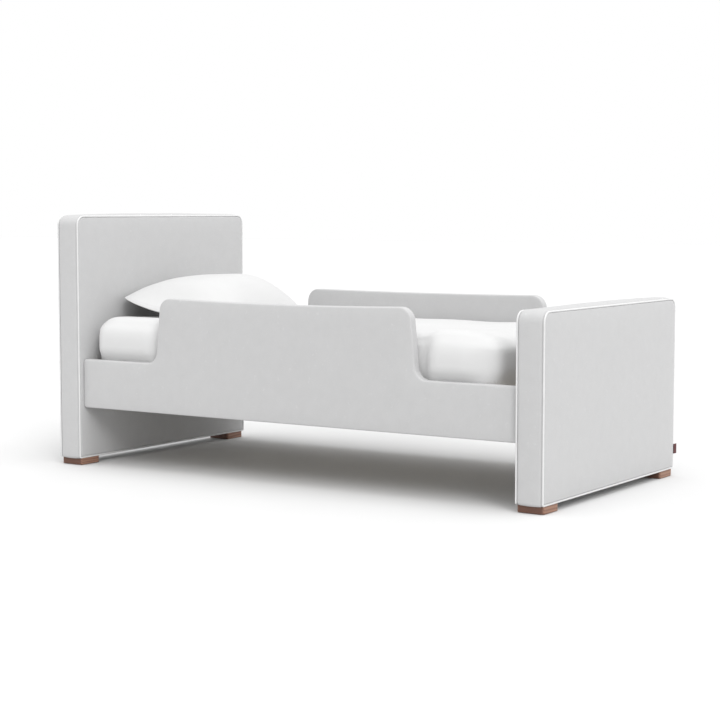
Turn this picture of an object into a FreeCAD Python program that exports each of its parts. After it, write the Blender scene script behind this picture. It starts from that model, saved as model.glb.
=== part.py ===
import FreeCAD, Part
import math
import os

# Upholstered toddler bed: padded headboard and footboard, two padded side rails with raised guards,
# a slatted platform, a mattress in a fitted sheet and a pillow in its case.  Millimetres.
# X runs from the headboard (-X) to the footboard (+X), Y across the bed, Z up.
# The origin lies on the floor under the middle of the bed.

Vector = FreeCAD.Vector

# ---- clearances ------------------------------------------------------------------------------------
LAYER_GAP = 0.2            # between layers of one panel or rail
BODY_GAP = 0.4             # between pieces that lift off each other
THREAD_GAP = 0.1           # round a screw in its pilot hole, and round an insert in its bore
SHANK_GAP = 0.6            # round a screw or bolt that passes through a piece
CUT_OVERRUN = 5.0          # how far a cutting shape runs past the face that it opens

# ---- mattress, which sets the size of the bed ------------------------------------------------------
MATTRESS_LENGTH = 1321.0
MATTRESS_WIDTH = 692.0
MATTRESS_THICKNESS = 145.0
MATTRESS_CORNER_RADIUS = 55.0
MATTRESS_TOP_RADIUS = 38.0
MATTRESS_BOTTOM_RADIUS = 14.0
MATTRESS_HEAD_GAP = 25.0   # from the headboard to the mattress
MATTRESS_FOOT_GAP = 84.0   # from the mattress to the footboard
MATTRESS_SIDE_GAP = 0.8    # from the mattress to each rail
SHEET = 1.2                # cloth of the fitted sheet, sewn double at its hem
SHEET_HEM = 110.0          # how far the sheet is turned under the mattress

# ---- headboard and footboard -----------------------------------------------------------------------
HEADBOARD_TOP = 724.0
FOOTBOARD_TOP = 497.0
PANEL_THICKNESS = 79.0
PANEL_TOP_RADIUS = 28.0
PANEL_HEM_RADIUS = 6.0
COVER = 1.2                # upholstery cloth
PANEL_FOAM = 8.0
PANEL_BOARD = 6.0
EDGE_WADDING = 3.0
PIPING_RADIUS = 2.4
PIPING_SEAT = 5.0          # square channel left for the piping along each edge of a panel
STILE_WIDTH = 70.0
CROSSBAR_HEIGHT = 45.0
CROSSBAR_COUNT = 3

# ---- side rails ------------------------------------------------------------------------------------
RAIL_BOTTOM = 169.0
RAIL_BEAM_HEIGHT = 140.0
GUARD_RISE = 186.0         # top of the guard above the low part of the rail
GUARD_LENGTH = 858.0       # where its sloping ends would meet the low part of the rail
GUARD_SLOPE = 17.0         # how far each end leans in from its foot to its top
GUARD_SHIFT = -12.0        # the guard's middle, along X
GUARD_TOP_RADIUS = 38.0
GUARD_FOOT_RADIUS = 36.0
RAIL_END_RADIUS = 9.0
RAIL_END_GAP = 1.0         # from each end of a rail to its panel
RAIL_SET_IN = 17.0         # from the side of a panel to the outer face of the rail
RAIL_CORE = 15.0
RAIL_FOAM = 4.0
GUARD_CAP = 4.0            # extra foam along the top of the guard

# ---- platform --------------------------------------------------------------------------------------
LEDGER_DROP = 34.0         # from the low part of the rail down to the top of the ledger
LEDGER_WIDTH = 25.0
LEDGER_HEIGHT = 30.0
LEDGER_END_GAP = 5.0
SLAT_COUNT = 12
SLAT_WIDTH = 68.0
SLAT_THICKNESS = 14.0
SLAT_END_GAP = 2.0
SLAT_EDGE_RADIUS = 3.0
WEBBING_WIDTH = 25.0
WEBBING_THICKNESS = 1.5
WEBBING_SPACING = 360.0

# ---- feet ------------------------------------------------------------------------------------------
FOOT_HEIGHT = 20.0         # from the floor to the underside of a panel
FOOT_WIDTH = 78.0          # along Y
FOOT_FACE_INSET = 2.0      # from each face of a panel
FOOT_SIDE_INSET = 7.0      # from the side of a panel
FOOT_EDGE_RADIUS = 7.0
GLIDE = 1.5
GLIDE_INSET = 8.0

# ---- fasteners -------------------------------------------------------------------------------------
BOLT_RADIUS = 3.0
BOLT_HEAD_RADIUS = 5.5
BOLT_HEAD_HEIGHT = 4.0
BOLT_HOLD = 17.0           # length of a bolt inside the frame
INSERT_RADIUS = 5.2
INSERT_LENGTH = 14.0
FOOT_BOLT_HOLD = 30.0
SCREW_RADIUS = 1.8
SCREW_HEAD_RADIUS = 3.6
SCREW_HEAD_HEIGHT = 2.2
SCREW_HOLD = 11.0          # length of a screw inside the piece that holds it
LEDGER_SCREW_COUNT = 6
BRACKET_METAL = 3.0
BRACKET_LEG = 40.0
BRACKET_BOLT_AT = 0.55     # share of a leg from the corner of a bracket to its bolts
BRACKET_SCREW_AT = 0.6     # and of the other leg to its screws
BRACKET_MARGIN = 6.0       # above and below a bracket, to the ledger and to the edge of the rail

# ---- pillow ----------------------------------------------------------------------------------------
PILLOW_WIDTH = 508.0
PILLOW_REACH = 362.0       # from its edge at the headboard to its edge on the mattress
PILLOW_HEIGHT = 117.0
PILLOW_LIFT = 43.0         # how far the edge at the headboard is propped up
PILLOW_REST = 192.0        # length of its underside that lies on the mattress
PILLOW_HEAD_GAP = 6.0
PILLOW_CORNER_RADIUS = 45.0
PILLOW_CREST_FROM_HEAD = 0.3   # shares of the reach, from each edge to the crest
PILLOW_CREST_FROM_FOOT = 0.27
PILLOW_HEAD_HEIGHT = 0.72  # shares of the height, at the headboard and at the sides
PILLOW_SIDE_HEIGHT = 0.5
PILLOW_CROWN_WIDTH = 0.6   # share of the width that is at full height
PILLOW_CREST_RADIUS = 60.0
PILLOW_SHOULDER_RADIUS = 40.0
PILLOW_SIDE_RADIUS = 20.0
PILLOW_HEAD_RADIUS = 12.0
PILLOW_LIP_RADIUS = 8.0
PILLOW_HEM_RADIUS = 6.0
PILLOW_MOUTH = 50.0        # from each corner of the case to its open end
PILLOW_MOUTH_HEIGHT = 0.4  # share of the height that the open end takes up
PILLOW_FLAP = 20.0         # spare cloth of the case past the insert

# ---- seam tab --------------------------------------------------------------------------------------
TAB_HEIGHT = 27.0
TAB_REACH = 13.0           # past the side of the footboard
TAB_OVERLAP = 4.0          # over the piping
TAB_THICKNESS = 1.0
TAB_BOTTOM = 62.0

# ---- places that follow from the sizes -------------------------------------------------------------
RAIL_FACE = COVER + RAIL_FOAM + 2 * LAYER_GAP
RAIL_THICKNESS = RAIL_CORE + 2 * RAIL_FACE
BED_WIDTH = MATTRESS_WIDTH + 2 * (MATTRESS_SIDE_GAP + RAIL_THICKNESS + RAIL_SET_IN)
INNER_LENGTH = MATTRESS_HEAD_GAP + MATTRESS_LENGTH + MATTRESS_FOOT_GAP
HALF_WIDTH = BED_WIDTH / 2
INNER_X = INNER_LENGTH / 2
OUTER_X = INNER_X + PANEL_THICKNESS
RAIL_OUTER_Y = HALF_WIDTH - RAIL_SET_IN
RAIL_INNER_Y = RAIL_OUTER_Y - RAIL_THICKNESS
RAIL_HALF = INNER_X - RAIL_END_GAP
RAIL_LOW_TOP = RAIL_BOTTOM + RAIL_BEAM_HEIGHT
GUARD_TOP = RAIL_LOW_TOP + GUARD_RISE
LEDGER_TOP = RAIL_LOW_TOP - LEDGER_DROP
LEDGER_BOTTOM = LEDGER_TOP - LEDGER_HEIGHT
SLAT_TOP = LEDGER_TOP + SLAT_THICKNESS
MATTRESS_BOTTOM = SLAT_TOP + BODY_GAP
MATTRESS_TOP = MATTRESS_BOTTOM + MATTRESS_THICKNESS
BRACKET_TOP = LEDGER_BOTTOM - BRACKET_MARGIN
BRACKET_BOTTOM = RAIL_BOTTOM + RAIL_FACE + BRACKET_MARGIN
FACE_STACK = COVER + PANEL_FOAM + PANEL_BOARD + 3 * LAYER_GAP
FRAME_INSET = COVER + EDGE_WADDING + 2 * LAYER_GAP
FOOT_CENTRE_Y = HALF_WIDTH - FOOT_SIDE_INSET - FOOT_WIDTH / 2
FOOT_BOLT_X = INNER_X + PANEL_THICKNESS / 2

SIDES = {"near": -1, "far": 1}
PANELS = {"headboard": (-1, HEADBOARD_TOP), "footboard": (1, FOOTBOARD_TOP)}

nodes = {}


# ---- shapes ----------------------------------------------------------------------------------------
def direction(start, end):
    length = math.hypot(end[0] - start[0], end[1] - start[1])
    return (end[0] - start[0]) / length, (end[1] - start[1]) / length


def inset_outline(corners, inset):
    """A counter-clockwise outline moved inwards; its round corners keep their centres."""
    moved = []
    for i, (u, v, radius) in enumerate(corners):
        before = direction(corners[i - 1], corners[i])
        after = direction(corners[i], corners[(i + 1) % len(corners)])
        convex = before[0] * after[1] > before[1] * after[0]
        share = inset / (1 + before[0] * after[0] + before[1] * after[1])
        moved_u = u - share * (before[1] + after[1])
        moved_v = v + share * (before[0] + after[0])
        moved.append((moved_u, moved_v, max(radius - inset if convex else radius + inset, 0)))
    return moved


def rounded_wire(corners, place):
    """A closed wire of straight runs and tangent arcs; each corner is (u, v, radius)."""
    stops = []
    for i, (u, v, radius) in enumerate(corners):
        back = direction(corners[i], corners[i - 1])
        on = direction(corners[i], corners[(i + 1) % len(corners)])
        half = math.acos(max(-1.0, min(1.0, back[0] * on[0] + back[1] * on[1]))) / 2
        reach = radius / math.tan(half)
        depth = radius / math.sin(half) - radius
        middle = (back[0] + on[0]) / (2 * math.cos(half)), (back[1] + on[1]) / (2 * math.cos(half))
        first = place(u + reach * back[0], v + reach * back[1])
        crown = place(u + depth * middle[0], v + depth * middle[1])
        last = place(u + reach * on[0], v + reach * on[1])
        stops.append((first, crown, last, radius > 0))
    edges = []
    for i, (first, crown, last, is_round) in enumerate(stops):
        if is_round:
            edges.append(Part.Arc(first, crown, last).toShape())
        edges.append(Part.LineSegment(last, stops[(i + 1) % len(stops)][0]).toShape())
    return Part.Wire(edges)


PLACES = {
    "x": lambda level: lambda u, v: Vector(level, u, v),
    "y": lambda level: lambda u, v: Vector(u, level, v),
    "z": lambda level: lambda u, v: Vector(u, v, level),
}
NORMALS = {"x": Vector(1, 0, 0), "y": Vector(0, 1, 0), "z": Vector(0, 0, 1)}


def prism(corners, axis, start, end):
    """The outline carried along an axis from one level to another."""
    low, high = sorted((start, end))
    face = Part.Face(rounded_wire(corners, PLACES[axis](low)))
    return face.extrude(NORMALS[axis] * (high - low))


def rectangle(u_low, v_low, u_high, v_high, radius=0.0):
    corners = (u_low, v_low), (u_high, v_low), (u_high, v_high), (u_low, v_high)
    return [(u, v, radius) for u, v in corners]


def block(x_range, y_range, z_range):
    (x0, x1), (y0, y1), (z0, z1) = sorted(x_range), sorted(y_range), sorted(z_range)
    return Part.makeBox(x1 - x0, y1 - y0, z1 - z0, Vector(x0, y0, z0))


def headed_rod(seat, way, head_radius, head_height, shank_radius, length):
    """A bolt or screw: its head stands behind the seat, its shank runs the given way from it."""
    head = Part.makeCylinder(head_radius, head_height, seat - way * head_height, way)
    return head.fuse(Part.makeCylinder(shank_radius, length, seat, way)).removeSplitter()


def cut_all(shape, cutters):
    return shape.cut(Part.makeCompound(cutters)) if cutters else shape


# ---- where the fasteners go ------------------------------------------------------------------------
def spread(low, high, count):
    """The middles of equal shares of a stretch."""
    return [low + (high - low) * (i + 0.5) / count for i in range(count)]


def bracket_levels():
    return spread(BRACKET_BOTTOM, BRACKET_TOP, 2)


def panel_bolt_places(end):
    """Where the bracket bolts enter a panel's inner face; end is -1 at the head, 1 at the foot."""
    y = RAIL_INNER_Y - BRACKET_LEG * BRACKET_BOLT_AT
    return [Vector(end * INNER_X, side * y, z) for side in SIDES.values() for z in bracket_levels()]


def foot_bolt_places(end):
    return [Vector(end * FOOT_BOLT_X, side * FOOT_CENTRE_Y, FOOT_HEIGHT) for side in SIDES.values()]


def bracket_screw_places(side):
    x = INNER_X - BRACKET_LEG * BRACKET_SCREW_AT
    return [Vector(end * x, side * RAIL_INNER_Y, z) for end in (-1, 1) for z in bracket_levels()]


def ledger_screw_places(side):
    z = (LEDGER_TOP + LEDGER_BOTTOM) / 2
    return [Vector(x, side * RAIL_INNER_Y, z) for x in spread(-INNER_X, INNER_X, LEDGER_SCREW_COUNT)]


def slat_middles():
    return spread(-INNER_X, INNER_X, SLAT_COUNT)


def slat_screw_places():
    y = RAIL_INNER_Y - LAYER_GAP - LEDGER_WIDTH / 2
    return [Vector(x, side * y, SLAT_TOP) for x in slat_middles() for side in SIDES.values()]


def rods(places, way, radius, back, ahead):
    """Round cutters through the given places, from back behind each to ahead of it."""
    return [Part.makeCylinder(radius, back + ahead, place - way * back, way) for place in places]


# ---- headboard and footboard -----------------------------------------------------------------------
def panel_outline(top, inset):
    corners = [
        (-HALF_WIDTH, FOOT_HEIGHT, PANEL_HEM_RADIUS),
        (HALF_WIDTH, FOOT_HEIGHT, PANEL_HEM_RADIUS),
        (HALF_WIDTH, top, PANEL_TOP_RADIUS),
        (-HALF_WIDTH, top, PANEL_TOP_RADIUS),
    ]
    return inset_outline(corners, inset)


def build_panel(name, end, top):
    out = Vector(end, 0, 0)
    bolts = panel_bolt_places(end)
    passage = rods(bolts, out, BOLT_RADIUS + SHANK_GAP, CUT_OVERRUN, FACE_STACK)
    foot_bolts = foot_bolt_places(end)
    foot_passage = rods(foot_bolts, Vector(0, 0, 1), BOLT_RADIUS + SHANK_GAP, CUT_OVERRUN, FRAME_INSET)

    def slab(inset, near_depth, far_depth):
        """A layer of the panel; depths are measured from its inner face."""
        near_x, far_x = end * (INNER_X + near_depth), end * (INNER_X + far_depth)
        return prism(panel_outline(top, inset), "x", near_x, far_x)

    def mirrored(near_depth, far_depth):
        return PANEL_THICKNESS - far_depth, PANEL_THICKNESS - near_depth

    cover = (0, COVER)
    foam = (COVER + LAYER_GAP, COVER + LAYER_GAP + PANEL_FOAM)
    board = (foam[1] + LAYER_GAP, foam[1] + LAYER_GAP + PANEL_BOARD)
    for layer, inset, depths in (
        ("cover", PIPING_SEAT, cover),
        ("foam", PIPING_SEAT, foam),
        ("board", FRAME_INSET, board),
    ):
        nodes[f"{name}_inner_{layer}"] = cut_all(slab(inset, *depths), passage)
        nodes[f"{name}_outer_{layer}"] = slab(inset, *mirrored(*depths))

    def band(outer_inset, thickness):
        """A strip of cloth or wadding round the edge, between the two pipings."""
        depths = PIPING_SEAT, PANEL_THICKNESS - PIPING_SEAT
        hollow = slab(outer_inset + thickness, -CUT_OVERRUN, PANEL_THICKNESS + CUT_OVERRUN)
        return cut_all(slab(outer_inset, *depths), [hollow] + foot_passage)

    nodes[f"{name}_edge_cover"] = band(0, COVER)
    nodes[f"{name}_edge_wadding"] = band(COVER + LAYER_GAP, EDGE_WADDING)

    frame_depths = FACE_STACK, PANEL_THICKNESS - FACE_STACK
    frame = slab(FRAME_INSET, *frame_depths)
    stile_y = HALF_WIDTH - FRAME_INSET - STILE_WIDTH
    low, high = FOOT_HEIGHT + FRAME_INSET, top - FRAME_INSET
    inserts_in = rods(bolts, out, INSERT_RADIUS + THREAD_GAP, 0, FACE_STACK + BOLT_HOLD + THREAD_GAP)
    bolt_top = FRAME_INSET + FOOT_BOLT_HOLD + THREAD_GAP
    inserts_up = rods(foot_bolts, Vector(0, 0, 1), INSERT_RADIUS + THREAD_GAP, CUT_OVERRUN, bolt_top)
    nodes[f"{name}_stiles"] = Part.makeCompound([
        cut_all(
            frame.common(block((-OUTER_X, OUTER_X), (side * stile_y, side * HALF_WIDTH), (low, high))),
            inserts_in + inserts_up,
        )
        for side in SIDES.values()
    ])
    bar_x = [end * (INNER_X + depth) for depth in frame_depths]
    bar_step = (high - low - CROSSBAR_HEIGHT) / (CROSSBAR_COUNT - 1)
    nodes[f"{name}_crossbars"] = Part.makeCompound([
        block(bar_x, (-stile_y, stile_y), (low + i * bar_step, low + i * bar_step + CROSSBAR_HEIGHT))
        for i in range(CROSSBAR_COUNT)
    ])

    def insert(place, way, depth):
        start = place + way * depth
        sleeve = Part.makeCylinder(INSERT_RADIUS, INSERT_LENGTH, start, way)
        return sleeve.cut(Part.makeCylinder(BOLT_RADIUS + THREAD_GAP, INSERT_LENGTH, start, way))

    nodes[f"{name}_inserts"] = Part.makeCompound(
        [insert(place, out, FACE_STACK) for place in bolts]
        + [insert(place, Vector(0, 0, 1), FRAME_INSET) for place in foot_bolts]
    )

    seam = panel_outline(top, PIPING_SEAT / 2)
    for face, depth in (("inner", PIPING_SEAT / 2), ("outer", PANEL_THICKNESS - PIPING_SEAT / 2)):
        x = end * (INNER_X + depth)
        path = rounded_wire(seam, PLACES["x"](x))
        start = Vector(x, 0, FOOT_HEIGHT + PIPING_SEAT / 2)
        ring = Part.Wire(Part.makeCircle(PIPING_RADIUS, start, Vector(0, 1, 0)))
        nodes[f"{name}_{face}_piping"] = run_piping(path, ring, start)


def run_piping(path, ring, start):
    """Piping follows the seam once round, starting in the middle of its lowest run."""
    edges = path.OrderedEdges
    lowest = min(range(len(edges)), key=lambda i: edges[i].CenterOfMass.z)
    first, last = (edges[lowest].Vertexes[i].Point for i in (0, 1))
    around = edges[lowest + 1:] + edges[:lowest]
    opened = [Part.LineSegment(start, last).toShape()] + around + [Part.LineSegment(first, start).toShape()]
    return Part.Wire(opened).makePipeShell([ring], True, True)


# ---- feet ------------------------------------------------------------------------------------------
def build_feet():
    bolts = []
    glides = []
    up = Vector(0, 0, 1)
    for panel, (end, _) in PANELS.items():
        x_low, x_high = sorted((end * (INNER_X + FOOT_FACE_INSET), end * (OUTER_X - FOOT_FACE_INSET)))
        for side_name, side in SIDES.items():
            y_low = side * FOOT_CENTRE_Y - FOOT_WIDTH / 2
            y_high = side * FOOT_CENTRE_Y + FOOT_WIDTH / 2
            foot = prism(rectangle(x_low, y_low, x_high, y_high, FOOT_EDGE_RADIUS), "z", GLIDE, FOOT_HEIGHT)
            seat = Vector(end * FOOT_BOLT_X, side * FOOT_CENTRE_Y, GLIDE + BOLT_HEAD_HEIGHT + LAYER_GAP)
            recess = rods([seat], up, BOLT_HEAD_RADIUS + SHANK_GAP, BOLT_HEAD_HEIGHT + CUT_OVERRUN, 0)
            passage = rods([seat], up, BOLT_RADIUS + SHANK_GAP, 0, FOOT_HEIGHT)
            nodes[f"{panel}_{side_name}_foot"] = cut_all(foot, recess + passage)
            length = FOOT_HEIGHT - seat.z + FRAME_INSET + FOOT_BOLT_HOLD
            bolts.append(headed_rod(seat, up, BOLT_HEAD_RADIUS, BOLT_HEAD_HEIGHT, BOLT_RADIUS, length))
            pad = inset_outline(rectangle(x_low, y_low, x_high, y_high), GLIDE_INSET)
            glides.append(prism(pad, "z", 0, GLIDE))
    nodes["foot_bolts"] = Part.makeCompound(bolts)
    nodes["foot_glides"] = Part.makeCompound(glides)


# ---- side rails ------------------------------------------------------------------------------------
def rail_outline(inset, overrun=0.0, cap=0.0):
    """The rail seen from the side, drawn in by inset but still reaching both ends, plus an overrun."""
    end = RAIL_HALF + inset + overrun
    guard_low = GUARD_LENGTH / 2
    guard_high = guard_low - GUARD_SLOPE
    corners = [
        (-end, RAIL_BOTTOM, RAIL_END_RADIUS),
        (end, RAIL_BOTTOM, RAIL_END_RADIUS),
        (end, RAIL_LOW_TOP, RAIL_END_RADIUS),
        (GUARD_SHIFT + guard_low, RAIL_LOW_TOP, GUARD_FOOT_RADIUS),
        (GUARD_SHIFT + guard_high, GUARD_TOP - cap, GUARD_TOP_RADIUS),
        (GUARD_SHIFT - guard_high, GUARD_TOP - cap, GUARD_TOP_RADIUS),
        (GUARD_SHIFT - guard_low, RAIL_LOW_TOP, GUARD_FOOT_RADIUS),
        (-end, RAIL_LOW_TOP, RAIL_END_RADIUS),
    ]
    return inset_outline(corners, inset)


def build_rail(name, side):
    outward = Vector(0, side, 0)
    passage = rods(
        bracket_screw_places(side) + ledger_screw_places(side),
        outward, SCREW_RADIUS + SHANK_GAP, CUT_OVERRUN, RAIL_FACE,
    )
    pilots = rods(
        bracket_screw_places(side) + ledger_screw_places(side),
        outward, SCREW_RADIUS + THREAD_GAP, CUT_OVERRUN, RAIL_FACE + SCREW_HOLD + THREAD_GAP,
    )

    def layer(inset, depth, overrun=0.0, cap=0.0):
        """The rail drawn in all round by inset, and from both faces by depth."""
        low, high = side * (RAIL_INNER_Y + depth), side * (RAIL_OUTER_Y - depth)
        return prism(rail_outline(inset, overrun, cap), "y", low, high)

    foam_at = COVER + LAYER_GAP
    nodes[f"{name}_rail_cover"] = cut_all(layer(0, 0), [layer(COVER, COVER, CUT_OVERRUN)] + passage)
    hollow = layer(foam_at + RAIL_FOAM, foam_at + RAIL_FOAM, CUT_OVERRUN, GUARD_CAP)
    nodes[f"{name}_rail_foam"] = cut_all(layer(foam_at, foam_at), [hollow] + passage)
    nodes[f"{name}_rail_core"] = cut_all(layer(RAIL_FACE, RAIL_FACE, cap=GUARD_CAP), pilots)

    ledger_y = side * (RAIL_INNER_Y - LAYER_GAP), side * (RAIL_INNER_Y - LAYER_GAP - LEDGER_WIDTH)
    ledger_x = -INNER_X + LEDGER_END_GAP, INNER_X - LEDGER_END_GAP
    ledger = block(ledger_x, ledger_y, (LEDGER_BOTTOM, LEDGER_TOP))
    through = rods(
        ledger_screw_places(side),
        outward, SCREW_RADIUS + SHANK_GAP, LEDGER_WIDTH + CUT_OVERRUN, CUT_OVERRUN,
    )
    slat_pilots = rods(
        [place for place in slat_screw_places() if place.y * side > 0],
        Vector(0, 0, -1), SCREW_RADIUS + THREAD_GAP, 0, SLAT_THICKNESS + SCREW_HOLD + THREAD_GAP,
    )
    nodes[f"{name}_ledger"] = cut_all(ledger, through + slat_pilots)
    nodes[f"{name}_ledger_screws"] = Part.makeCompound([
        headed_rod(
            place - outward * (LAYER_GAP + LEDGER_WIDTH), outward, SCREW_HEAD_RADIUS, SCREW_HEAD_HEIGHT,
            SCREW_RADIUS, LAYER_GAP + LEDGER_WIDTH + RAIL_FACE + SCREW_HOLD,
        )
        for place in ledger_screw_places(side)
    ])
    build_brackets(name, side, outward)


def build_brackets(name, side, outward):
    """Steel angles in the corners under the ledger, bolted to the panels and screwed to the rail."""
    brackets = []
    for end in (-1, 1):
        x_corner, y_corner = end * (INNER_X - LAYER_GAP), side * (RAIL_INNER_Y - LAYER_GAP)
        legs = [
            (0, 0), (BRACKET_LEG, 0), (BRACKET_LEG, BRACKET_METAL),
            (BRACKET_METAL, BRACKET_METAL), (BRACKET_METAL, BRACKET_LEG), (0, BRACKET_LEG),
        ]
        angle = [(x_corner - end * along, y_corner - side * across, 0.0) for along, across in legs]
        if end * side < 0:
            angle.reverse()
        metal = prism(angle, "z", BRACKET_BOTTOM, BRACKET_TOP)
        holes = rods(panel_bolt_places(end), Vector(end, 0, 0), BOLT_RADIUS + SHANK_GAP, BRACKET_LEG, 0)
        holes += rods(bracket_screw_places(side), outward, SCREW_RADIUS + SHANK_GAP, BRACKET_LEG, 0)
        brackets.append(cut_all(metal, holes))
    nodes[f"{name}_rail_brackets"] = Part.makeCompound(brackets)
    bolts = []
    for end in (-1, 1):
        way = Vector(end, 0, 0)
        back = LAYER_GAP + BRACKET_METAL
        length = back + FACE_STACK + BOLT_HOLD
        bolts += [
            headed_rod(place - way * back, way, BOLT_HEAD_RADIUS, BOLT_HEAD_HEIGHT, BOLT_RADIUS, length)
            for place in panel_bolt_places(end)
            if place.y * side > 0
        ]
    nodes[f"{name}_bracket_bolts"] = Part.makeCompound(bolts)
    back = LAYER_GAP + BRACKET_METAL
    nodes[f"{name}_bracket_screws"] = Part.makeCompound([
        headed_rod(
            place - outward * back, outward, SCREW_HEAD_RADIUS, SCREW_HEAD_HEIGHT,
            SCREW_RADIUS, back + RAIL_FACE + SCREW_HOLD,
        )
        for place in bracket_screw_places(side)
    ])


# ---- platform --------------------------------------------------------------------------------------
def countersunk(place, radius_gap, length):
    """A flat-headed screw driven down from the top of a slat."""
    down = Vector(0, 0, -1)
    head_radius = SCREW_HEAD_RADIUS + radius_gap
    shank_radius = SCREW_RADIUS + radius_gap
    head = Part.makeCone(head_radius, shank_radius, SCREW_HEAD_HEIGHT, place, down)
    return head.fuse(Part.makeCylinder(shank_radius, length, place, down)).removeSplitter()


def build_platform():
    places = slat_screw_places()
    slat_y = RAIL_INNER_Y - SLAT_END_GAP
    slats = []
    for x in slat_middles():
        outline = rectangle(x - SLAT_WIDTH / 2, LEDGER_TOP, x + SLAT_WIDTH / 2, SLAT_TOP, SLAT_EDGE_RADIUS)
        holes = [
            countersunk(place, THREAD_GAP, SLAT_THICKNESS + CUT_OVERRUN)
            for place in places
            if abs(place.x - x) < SLAT_WIDTH / 2
        ]
        slats.append(cut_all(prism(outline, "y", -slat_y, slat_y), holes))
    nodes["slats"] = Part.makeCompound(slats)
    nodes["slat_screws"] = Part.makeCompound([
        countersunk(place, 0, SLAT_THICKNESS + SCREW_HOLD) for place in places
    ])
    strap_x = slat_middles()[-1] + SLAT_WIDTH / 2
    strap_y = (WEBBING_SPACING - WEBBING_WIDTH) / 2, (WEBBING_SPACING + WEBBING_WIDTH) / 2
    nodes["slat_webbing"] = Part.makeCompound([
        block(
            (-strap_x, strap_x),
            [side * y for y in strap_y],
            (LEDGER_TOP - WEBBING_THICKNESS, LEDGER_TOP),
        )
        for side in SIDES.values()
    ])


# ---- mattress --------------------------------------------------------------------------------------
def mattress_body(inset):
    x_low = -INNER_X + MATTRESS_HEAD_GAP + inset
    x_high = x_low + MATTRESS_LENGTH - 2 * inset
    y_high = MATTRESS_WIDTH / 2 - inset
    low, high = MATTRESS_BOTTOM + inset, MATTRESS_TOP - inset
    plan = rectangle(x_low, -y_high, x_high, y_high, MATTRESS_CORNER_RADIUS - inset)
    body = prism(plan, "z", low, high)
    for level, radius in ((high, MATTRESS_TOP_RADIUS), (low, MATTRESS_BOTTOM_RADIUS)):
        rim = [e for e in body.Edges if all(abs(v.Z - level) < LAYER_GAP / 2 for v in e.Vertexes)]
        body = body.makeFillet(radius - inset, rim)
    return body


def build_mattress():
    nodes["mattress_core"] = mattress_body(SHEET + LAYER_GAP)
    x_low = -INNER_X + MATTRESS_HEAD_GAP + SHEET_HEM
    x_high = x_low + MATTRESS_LENGTH - 2 * SHEET_HEM
    y_high = MATTRESS_WIDTH / 2 - SHEET_HEM
    mouth = prism(
        rectangle(x_low, -y_high, x_high, y_high, MATTRESS_CORNER_RADIUS),
        "z", MATTRESS_BOTTOM - CUT_OVERRUN, MATTRESS_BOTTOM + CUT_OVERRUN,
    )
    nodes["fitted_sheet"] = cut_all(mattress_body(0), [mattress_body(SHEET), mouth])


# ---- pillow ----------------------------------------------------------------------------------------
def pillow_body(inset, flap=0.0):
    """A cushion propped on the headboard: its side view, plan and end view carried through each other."""
    head = -INNER_X + PILLOW_HEAD_GAP
    foot = head + PILLOW_REACH
    low = MATTRESS_TOP + BODY_GAP
    high = low + PILLOW_HEIGHT
    half = PILLOW_WIDTH / 2
    side_view = [
        (foot - PILLOW_REST, low, PILLOW_CREST_RADIUS),
        (foot, low, PILLOW_LIP_RADIUS),
        (foot - PILLOW_REACH * PILLOW_CREST_FROM_FOOT, high, PILLOW_CREST_RADIUS),
        (head + PILLOW_REACH * PILLOW_CREST_FROM_HEAD, high, PILLOW_CREST_RADIUS),
        (head, low + PILLOW_HEIGHT * PILLOW_HEAD_HEIGHT, PILLOW_HEAD_RADIUS),
        (head, low + PILLOW_LIFT, PILLOW_HEAD_RADIUS),
    ]
    plan = rectangle(head, -half, foot, half, PILLOW_CORNER_RADIUS)
    crown = half * PILLOW_CROWN_WIDTH
    side_high = low + PILLOW_HEIGHT * PILLOW_SIDE_HEIGHT
    end_view = [
        (-half, low, PILLOW_HEM_RADIUS),
        (half, low, PILLOW_HEM_RADIUS),
        (half, side_high, PILLOW_SIDE_RADIUS),
        (crown, high, PILLOW_SHOULDER_RADIUS),
        (-crown, high, PILLOW_SHOULDER_RADIUS),
        (-half, side_high, PILLOW_SIDE_RADIUS),
    ]
    body = prism(inset_outline(side_view, inset), "y", -half, half)
    body = body.common(prism(inset_outline(plan, inset), "z", low, high))
    body = body.common(prism(inset_outline(end_view, inset), "x", head, foot))
    return body.common(block((head, foot), (-half + flap, half), (low, high)))


def build_pillow():
    head = -INNER_X + PILLOW_HEAD_GAP
    foot = head + PILLOW_REACH
    low = MATTRESS_TOP + BODY_GAP
    half = PILLOW_WIDTH / 2
    nodes["pillow_insert"] = pillow_body(SHEET + LAYER_GAP, PILLOW_FLAP)
    mouth = pillow_body(SHEET).common(
        block(
            (head + PILLOW_MOUTH, foot - PILLOW_MOUTH),
            (-half, -half + PILLOW_FLAP),
            (low, low + PILLOW_HEIGHT * PILLOW_MOUTH_HEIGHT),
        )
    )
    opening = mouth.fuse(mouth.translated(Vector(0, -PILLOW_FLAP / 2, 0)))
    nodes["pillowcase"] = cut_all(pillow_body(0), [pillow_body(SHEET), opening])


# ---- seam tab --------------------------------------------------------------------------------------
def build_seam_tab():
    nodes["seam_tab"] = block(
        (OUTER_X, OUTER_X + TAB_THICKNESS),
        (HALF_WIDTH - TAB_OVERLAP, HALF_WIDTH + TAB_REACH),
        (TAB_BOTTOM, TAB_BOTTOM + TAB_HEIGHT),
    )


for panel_name, (panel_end, panel_top) in PANELS.items():
    build_panel(panel_name, panel_end, panel_top)
build_feet()
for rail_name, rail_side in SIDES.items():
    build_rail(rail_name, rail_side)
build_platform()
build_mattress()
build_pillow()
build_seam_tab()

os.makedirs("parts", exist_ok=True)
for node, shape in nodes.items():
    shape.exportStep(f"parts/{node}.step")
print(len(nodes), "nodes")
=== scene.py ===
import math

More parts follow.
